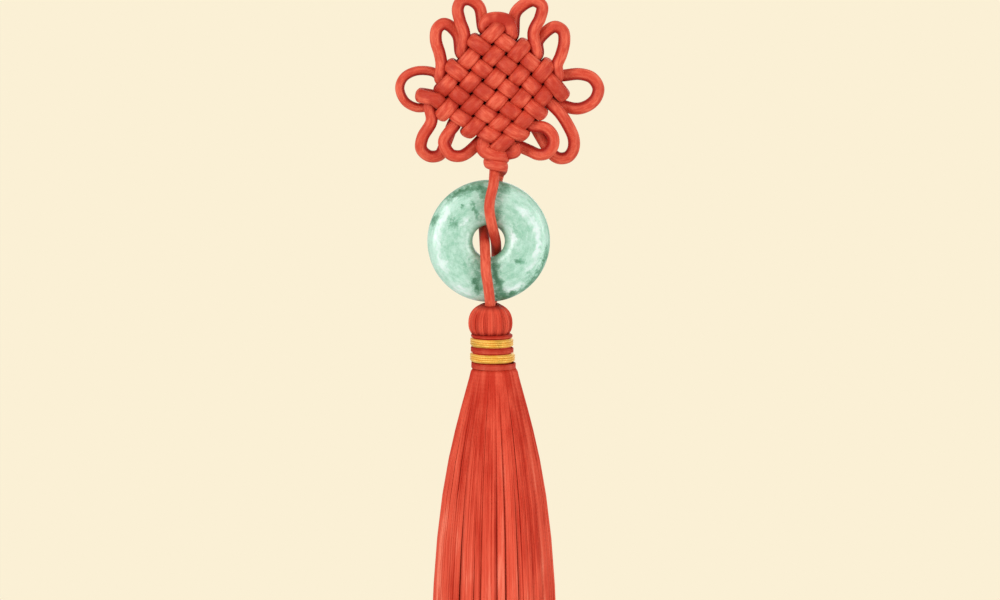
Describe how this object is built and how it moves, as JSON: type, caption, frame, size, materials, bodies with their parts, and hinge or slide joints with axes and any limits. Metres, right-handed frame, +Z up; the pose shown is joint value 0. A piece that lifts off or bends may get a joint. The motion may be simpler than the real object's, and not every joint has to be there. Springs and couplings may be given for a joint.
{
  "type": "hanging knot ornament",
  "caption": "Hanging good-luck ornament: an endless knot of red cord with looped ears, a jade ring on two crossing cords, and a silk tassel bound with gold thread.",
  "frame": {"origin": "underside of the top loop, at the middle of the knot's depth, where the ornament hangs", "axes": "+Z up along the hanging ornament, -Y is the front, +X to the right when it is seen from the front"},
  "size_m": [0.0604, 0.0308, 0.2159],
  "materials": {
    "cord": "satin",
    "silk": "satin",
    "gold_thread": "satin",
    "jade": "polished"
  },
  "bodies": {
    "root": {"pan_chang_weave": "cord", "top_loop": "cord", "ear_left_1": "cord", "ear_left_2": "cord", "ear_left_3": "cord", "ear_left_4": "cord", "ear_left_5": "cord", "ear_right_1": "cord", "ear_right_2": "cord", "ear_right_3": "cord", "ear_right_4": "cord", "ear_right_5": "cord", "bottom_knot": "cord", "front_cord": "cord", "back_cord": "cord", "jade_ring": "jade", "tassel_head": "silk", "tassel_neck": "silk", "gold_band_upper": "gold_thread", "gold_band_lower": "gold_thread", "tassel_skirt": "silk"}
  },
  "joints": []
}
